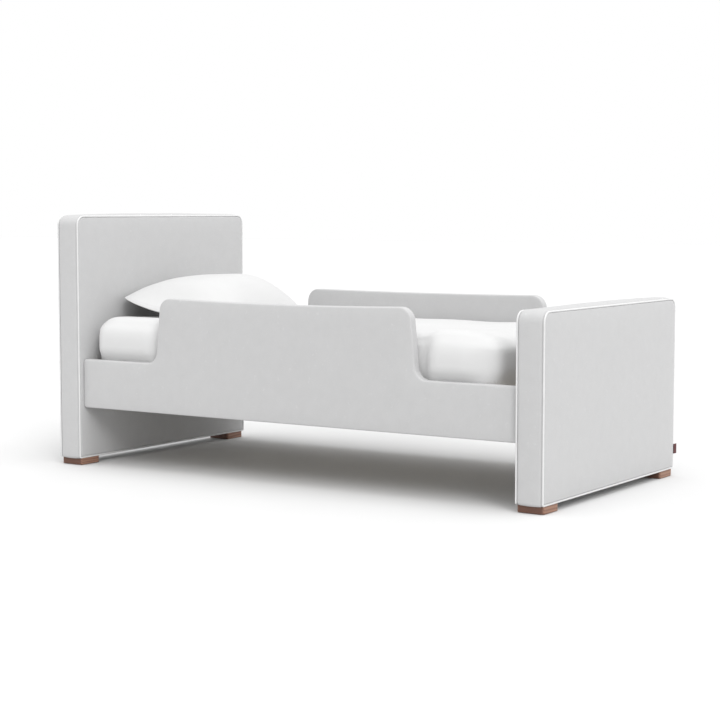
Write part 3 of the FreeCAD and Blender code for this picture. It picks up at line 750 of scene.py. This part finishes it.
def mattress_form(inset, hem, spacing):
    """The mattress from the edge of the sheet's hem, over its sides to its top: loops, then a grid."""
    low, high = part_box("fitted_sheet")
    low, high = low + Vector((inset,) * 3), high - Vector((inset,) * 3)
    counts = (
        round((high.x - low.x) / spacing), round((high.y - low.y) / spacing), MATTRESS_CORNER_STEPS,
    )
    profile = [(d, low.z) for d in np.arange(hem, MATTRESS_HEM_ROUNDING, -spacing)]
    for k in range(ROUNDING_STEPS + 1):
        angle = k * math.pi / 2 / ROUNDING_STEPS
        ease = MATTRESS_HEM_ROUNDING
        profile.append((ease * (1 - math.sin(angle)), low.z + ease * (1 - math.cos(angle))))
    side_low, side_high = low.z + MATTRESS_HEM_ROUNDING, high.z - MATTRESS_TOP_ROUNDING
    rows = round((side_high - side_low) / spacing)
    profile += [(0, side_low + (side_high - side_low) * k / rows) for k in range(1, rows)]
    for k in range(MATTRESS_TOP_STEPS + 1):
        angle = k * math.pi / 2 / MATTRESS_TOP_STEPS
        ease = MATTRESS_TOP_ROUNDING
        profile.append((ease * (1 - math.cos(angle)), side_high + ease * math.sin(angle)))
    points, faces, loops = [], [], []
    for d, z in profile:
        radius = max(MATTRESS_CORNER - inset - d, MATTRESS_TIGHTEST_CORNER)
        loop = rectangle_loop((low.x + d, low.y + d), (high.x - d, high.y - d), radius, counts)
        loops.append(loop)
        points += [(x, y, z) for x, y in loop]
    count = len(loops[0])
    for k in range(len(loops) - 1):
        faces += ring_faces(k * count, (k + 1) * count, count)
    grid, triangles = filled(loops[-1], spacing)
    faces += cap_faces(triangles, count, (len(loops) - 1) * count, len(points))
    points += [(x, y, high.z) for x, y in grid]
    return np.array(points), faces, count


def puffed(piece, pressure, cap, frames, stiffness):
    """The piece blown up by a short cloth simulation, in which no point moves further than the cap."""
    scene = bpy.context.scene
    start = np.array([v.co for v in piece.data.vertices])
    cloth = piece.modifiers.new("filling", "CLOTH")
    cloth.settings.use_pressure = True
    cloth.settings.uniform_pressure_force = pressure
    cloth.settings.quality = 6
    cloth.settings.tension_stiffness = stiffness
    cloth.settings.compression_stiffness = stiffness
    cloth.settings.bending_stiffness = 0.4
    cloth.settings.effector_weights.gravity = 0
    cloth.point_cache.frame_start = 1
    cloth.point_cache.frame_end = frames
    for number in range(1, frames + 1):
        scene.frame_set(number)
    shape = piece.evaluated_get(bpy.context.evaluated_depsgraph_get())
    moved = np.array([v.co for v in shape.data.vertices])
    piece.modifiers.remove(cloth)
    scene.frame_set(1)
    move = moved - start
    length = np.linalg.norm(move, axis=1)
    share = np.minimum(1, cap / np.maximum(length, 1e-9))
    return start + move * share[:, None]


def smoothed(piece, points, times):
    """The points evened out with their neighbours."""
    pairs = np.array([edge.vertices for edge in piece.data.edges])
    counts = np.bincount(pairs.ravel(), minlength=len(points))[:, None]
    for _ in range(times):
        total = np.zeros_like(points)
        np.add.at(total, pairs[:, 0], points[pairs[:, 1]])
        np.add.at(total, pairs[:, 1], points[pairs[:, 0]])
        points = (points + total / counts) / 2
    return points


def set_points(piece, points):
    piece.data.vertices.foreach_set("co", np.asarray(points, np.float32).ravel())
    piece.data.update()


def settled(points):
    """The mattress as it lies: pinched by the guards' ends, swelling over the low rails, sunk on top."""
    low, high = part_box("fitted_sheet")
    beam_top = rail_corners("near")[0]
    x, y, z = points.T
    past_guard = abs(x - GUARD_SHIFT) - GUARD_LENGTH / 2
    from_head, from_foot = x - low.x, high.x - x

    # The sides swell into a round shape between a guard's end, the top edge and the low rail.
    along = np.clip((past_guard - 0.014) / 0.05, 0, 1)
    down = np.clip((high.z - 0.018 - z) / 0.055, 0, 1)
    swell = 1 - np.clip(np.hypot(1 - along, 1 - down), 0, 1) ** 2.2
    swell *= fade(from_foot, 0.0, 0.09) * fade(from_head, 0.0, 0.04) * fade(z, beam_top, beam_top + 0.03)

    # They are pressed in where a guard ends.
    pinch = fade(past_guard, -0.03, -0.005) * (1 - fade(past_guard, 0.006, 0.04))
    pinch *= fade(z, beam_top - 0.03, beam_top) * (1 - fade(z, high.z - 0.02, high.z))

    # Both ends belly out between the base and the top.
    belly = fade(z, low.z, low.z + 0.06) * (1 - 0.6 * fade(z, high.z - 0.05, high.z))
    foot_belly = MATTRESS_BELLY["foot"] * fade(x, high.x - 0.06, high.x)
    head_belly = MATTRESS_BELLY["head"] * fade(-x, -low.x - 0.06, -low.x)

    # The top sinks, more towards the far side and the ends, and less in a roll beside the low rails.
    roll = fade(abs(y), high.y - 0.14, high.y - 0.06) * fade(past_guard, 0.0, 0.04)
    sunk = MATTRESS_SINK + MATTRESS_FAR_SINK * fade(y, -0.25, 0.25)
    sunk -= np.where(x > 0, MATTRESS_ROLL["foot"], MATTRESS_ROLL["head"]) * roll
    sunk += MATTRESS_END_SINK["head"] * (1 - fade(from_head, 0.0, 0.06))
    sunk += MATTRESS_END_SINK["foot"] * (1 - fade(from_foot, 0.0, 0.12))
    unevenness = ripple(points * (1, 1, 0), *MATTRESS_RIPPLE, 3)

    moved = points.copy()
    side = fade(abs(y), high.y - 0.02, high.y - 0.002)
    moved[:, 0] += belly * (foot_belly - head_belly)
    moved[:, 1] += np.sign(y) * side * (MATTRESS_SWELL * swell - MATTRESS_PINCH * pinch)
    moved[:, 2] += fade(z, high.z - 0.06, high.z - 0.002) * (unevenness - sunk)
    return moved


def build_mattress():
    """A foam mattress in its ticking, and the fitted sheet that is stretched over it."""
    points, faces, count = mattress_form(TICKING_INSET, TICKING_UNDERSIDE, TICKING_GRID)
    underside, triangles = filled(points[:count, :2], TICKING_GRID)
    faces += cap_faces(triangles, count, 0, len(points))
    points = settled(np.vstack((points, [(x, y, points[0, 2]) for x, y in underside])))
    ticking = make(
        "mattress_in_ticking", points, faces, "mattress_foam", "mattress", ("mattress_core",),
    )

    points, faces, count = mattress_form(0, SHEET_HEM, SHEET_GRID)
    sheet = make("sheet_on_mattress", points, faces, "sheet_cotton", "mattress", ("fitted_sheet",))
    set_points(sheet, settled(np.array([v.co for v in sheet.data.vertices])))
    solid = sheet.modifiers.new("cloth", "SOLIDIFY")
    solid.thickness = SHEET_THICKNESS
    solid.offset = -1
    return sheet


# ---- pillow ----------------------------------------------------------------------------------------
def pillow_bag():
    """Two flat cloths sewn together round their edges, barely filled."""
    (half_x, half_y), (rows, columns) = PILLOW_CUT, PILLOW_GRID
    u, v = np.meshgrid(np.linspace(-1, 1, rows + 1), np.linspace(-1, 1, columns + 1), indexing="ij")
    room = np.clip((1 - u ** 6) * (1 - v ** 6), 0, 1).ravel()
    across = half_x * u * np.sqrt(1 - PILLOW_CORNERS * v ** 4 / 2) * (1 + PILLOW_WAIST * (1 - v ** 2))
    along = half_y * v * np.sqrt(1 - PILLOW_CORNERS * u ** 4 / 2)
    upper = np.column_stack((across.ravel(), along.ravel(), 0.010 * np.sqrt(room)))
    sewn = room < 1e-9
    lower_index = np.where(sewn, np.arange(len(upper)), len(upper) + np.cumsum(~sewn) - 1)
    points = np.vstack((upper, upper[~sewn] * (1, 1, -1)))
    index = np.arange(len(upper)).reshape(u.shape)
    faces = []
    for r in range(rows):
        for c in range(columns):
            quad = [index[r, c], index[r + 1, c], index[r + 1, c + 1], index[r, c + 1]]
            faces.append(quad)
            faces.append([lower_index[i] for i in reversed(quad)])
    return points, faces


def stitch_hem(pillow):
    """Two rows of stitches along the hem at the open end of the case."""
    rows, columns = PILLOW_GRID
    reach, tip = STITCH_TIP
    surface = BVHTree.FromObject(pillow, bpy.context.evaluated_depsgraph_get())
    cloth = np.array([v.co for v in pillow.data.vertices])[:(rows + 1) * (columns + 1)]
    cloth = cloth.reshape(rows + 1, columns + 1, 3)
    points, faces = [], []
    for column in (1, 2):
        line = cloth[2:-2, column]
        travelled = np.insert(np.cumsum(np.linalg.norm(np.diff(line, axis=0), axis=1)), 0, 0)
        for start in np.arange(0, travelled[-1] - STITCH_PITCH, STITCH_PITCH):
            ends = [
                Vector([np.interp(at, travelled, line[:, axis]) for axis in range(3)])
                for at in (start, start + STITCH_LENGTH)
            ]
            (first, normal), (last, _) = [surface.find_nearest(end)[:2] for end in ends]
            way = (last - first).normalized()
            beside = way.cross(normal).normalized()
            at = len(points)
            for centre in (first - way * reach, first, last, last + way * reach):
                wide = STITCH_RADIUS if centre in (first, last) else tip
                points += [
                    centre + (beside * math.cos(k * math.pi / 3) + normal * math.sin(k * math.pi / 3)) * wide
                    for k in range(6)
                ]
            for ring in range(3):
                faces += ring_faces(at + ring * 6, at + ring * 6 + 6, 6)
            faces += [[at + k for k in range(6)], [at + 18 + k for k in range(6)]]
    make("pillow_hem_stitches", points, faces, "pillow_cotton", "pillow")


def lifted(x, y, z, sheet):
    """Heights that are kept just clear of the sheet."""
    surface = BVHTree.FromObject(sheet, bpy.context.evaluated_depsgraph_get())
    for i in range(len(z)):
        hit = surface.ray_cast(Vector((x[i], y[i], 1.0)), Vector((0, 0, -1)))[0]
        if hit is not None:
            z[i] = max(z[i], hit.z + CLEAR)
    return z


def build_pillow(sheet):
    """A soft pillow in its case, propped on the headboard and lying on the mattress."""
    low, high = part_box("pillowcase")
    points, faces = pillow_bag()
    pillow = make("pillow", points, faces, "pillow_cotton", "pillow", ("pillow_insert", "pillowcase"))
    shape = np.array([v.co for v in pillow.data.vertices])
    cut = shape / abs(shape).max(0)
    blown = puffed(pillow, pressure=6.0, cap=0.09, frames=30, stiffness=12.0)
    shape = smoothed(pillow, blown, 50)
    shape /= abs(shape).max(0)
    shape[:, :2] += PILLOW_HOLD * (cut - shape)[:, :2]
    across, along, loft = (shape / abs(shape).max(0)).T
    x = low.x + (high.x + PILLOW_SPREAD - low.x) * (across + 1) / 2
    y = along * high.y
    propped = PILLOW_SLOPE * PILLOW_BEND * np.log1p(np.exp((PILLOW_BEND_AT - x) / PILLOW_BEND))
    seam = low.z + PILLOW_SEAM - PILLOW_SINK + propped
    full = 0.45 + 0.55 * fade(y, -high.y, -high.y + PILLOW_HEM_REACH)
    loft = np.sign(loft) * abs(loft) ** 0.8
    crest = (1.1 - 0.3 * fade(-across, -0.4, 0.8)) * (1 - 0.1 * fade(-y, -0.05, 0.2))
    z = seam + np.where(loft > 0, PILLOW_LOFT * crest * full, PILLOW_UNDERSIDE * full) * loft
    set_points(pillow, np.column_stack((x, y, lifted(x, y, z, sheet))))
    smooth = pillow.modifiers.new("smooth", "SUBSURF")
    smooth.levels = smooth.render_levels = 1
    stitch_hem(pillow)


# ---- seam tab, webbing and the parts that stay as they are -----------------------------------------
def build_tab():
    """A plain loop of ribbon sewn into the footboard's seam, folded out over the piping."""
    low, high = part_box("seam_tab")
    middle, fold = (low.x + high.x) / 2 + TAB_SHIFT, high.y + TAB_LOOP
    left, right = middle - TAB_HALF, middle + TAB_HALF
    tight, round_fold = TAB_FOLD
    corners = [
        (left, low.y, tight), (left + TAB_CLOTH, low.y, tight),
        (left + TAB_CLOTH, fold - TAB_CLOTH, tight), (right - TAB_CLOTH, fold - TAB_CLOTH, tight),
        (right - TAB_CLOTH, low.y, tight), (right, low.y, tight),
        (right, fold, round_fold), (left, fold, round_fold),
    ]
    points, faces = slab(
        corners, TAB_STEP, (low.z, high.z), (TAB_EDGE, TAB_EDGE), (0, 0), TAB_GRID,
    )
    tab = make("ribbon_tab", points, faces, "tab_cloth", "bed_frame", ("seam_tab",))


def build_webbing():
    """Two woven tapes stapled under the slats, sagging a little between them."""
    low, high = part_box("slat_webbing")
    slat_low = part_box("slats")[0]
    half_width, half_tape = (high.y - low.y) / 2, WEBBING_WIDTH / 2
    thickness = high.z - low.z
    stations = np.arange(low.x, high.x, WEBBING_STEP)
    count = len(stations)
    slats_passed = (stations - slat_low.x) * SLAT_COUNT / (2 * abs(slat_low.x))
    sag = WEBBING_SAG * np.sin(math.pi * slats_passed) ** 2
    section = [(-half_tape, 0), (-half_tape, -thickness), (half_tape, -thickness), (half_tape, 0)]
    faces = []
    for k in range(4):
        faces += ring_faces(k * count, (k + 1) % 4 * count, count, closed=False)
    faces += [[k * count for k in range(4)], [k * count + count - 1 for k in range(4)]]
    for name, side in SIDES.items():
        middle = side * (half_width - half_tape)
        points = [
            (x, middle + y, high.z - WEBBING_GAP + z - drop)
            for y, z in section for x, drop in zip(stations, sag)
        ]
        make(f"{name}_webbing", points, faces, "webbing", "bed_frame", ("slat_webbing",))


def dress_nodes():
    """The finish of every frame part, with eased edges on the walnut feet."""
    for node in NODES.values():
        slot_name = node.material_slots[0].material.name
        node.material_slots[0].material = FINISHES[slot_name]
        if slot_name == "walnut":
            weld = node.modifiers.new("weld", "WELD")
            weld.merge_threshold = WELD_REACH
            eased = node.modifiers.new("eased", "BEVEL")
            eased.width = EASED_EDGE
            eased.segments = 2
            eased.limit_method = "ANGLE"


# ---- putting the bed together ----------------------------------------------------------------------
for number, (panel_name, panel_end) in enumerate(ENDS.items()):
    panel = Panel(panel_name, panel_end, 10 * number)
    panel.add_faces()
    panel.add_band()
    panel.add_welts()
for rail_name, rail_side in SIDES.items():
    build_rail(rail_name, rail_side, GUARD_SAG[rail_name], 40 + rail_side)
build_pillow(build_mattress())
build_tab()
build_webbing()
dress_nodes()


# ---- floor, light and camera -----------------------------------------------------------------------
FLOOR_REACH = 30
CAMERA_PLACE = (2.7411, -4.1175, 0.7392)
CAMERA_DIP = 4.912
CAMERA_TURN = 33.647
CAMERA_LENS = 87.145
CAMERA_SENSOR = 36.0


def build_stage():
    """A pale floor without an edge in sight, and a white studio round it."""
    mesh = bpy.data.meshes.new("floor")
    corners = [(x * FLOOR_REACH, y * FLOOR_REACH, 0) for x, y in ((-1, -1), (1, -1), (1, 1), (-1, 1))]
    mesh.from_pydata(corners, [], [(0, 1, 2, 3)])
    mesh.materials.append(stage_floor("floor"))
    floor = bpy.data.objects.new("floor", mesh)
    bpy.context.scene.collection.objects.link(floor)
    world = bpy.data.worlds.new("studio")
    world.use_nodes = True
    background = world.node_tree.nodes["Background"]
    background.inputs["Color"].default_value = (1, 1, 1, 1)
    background.inputs["Strength"].default_value = 1.0
    bpy.context.scene.world = world
    bpy.context.scene.view_settings.view_transform = "Standard"


def wide_light(name, towards, strength, spread):
    """Even light from one side of the studio, with soft shadows."""
    lamp = bpy.data.lights.new(name, "SUN")
    lamp.energy = strength
    lamp.angle = math.radians(spread)
    lit = bpy.data.objects.new(name, lamp)
    lit.rotation_euler = Vector(towards).to_track_quat("Z", "Y").to_euler()
    bpy.context.scene.collection.objects.link(lit)


def build_camera():
    """A long lens, looking slightly down past the near corner of the footboard."""
    lens = bpy.data.cameras.new("camera")
    lens.lens = CAMERA_LENS
    lens.sensor_width = CAMERA_SENSOR
    camera = bpy.data.objects.new("camera", lens)
    camera.location = CAMERA_PLACE
    camera.rotation_euler = (math.radians(90 - CAMERA_DIP), 0, math.radians(CAMERA_TURN))
    bpy.context.scene.collection.objects.link(camera)
    bpy.context.scene.camera = camera


build_stage()
wide_light("overhead", (0.10, -0.045, 0.45), 1.455, 60)
wide_light("window", (0.18, -0.15, 0.15), 0.874, 20)
build_camera()
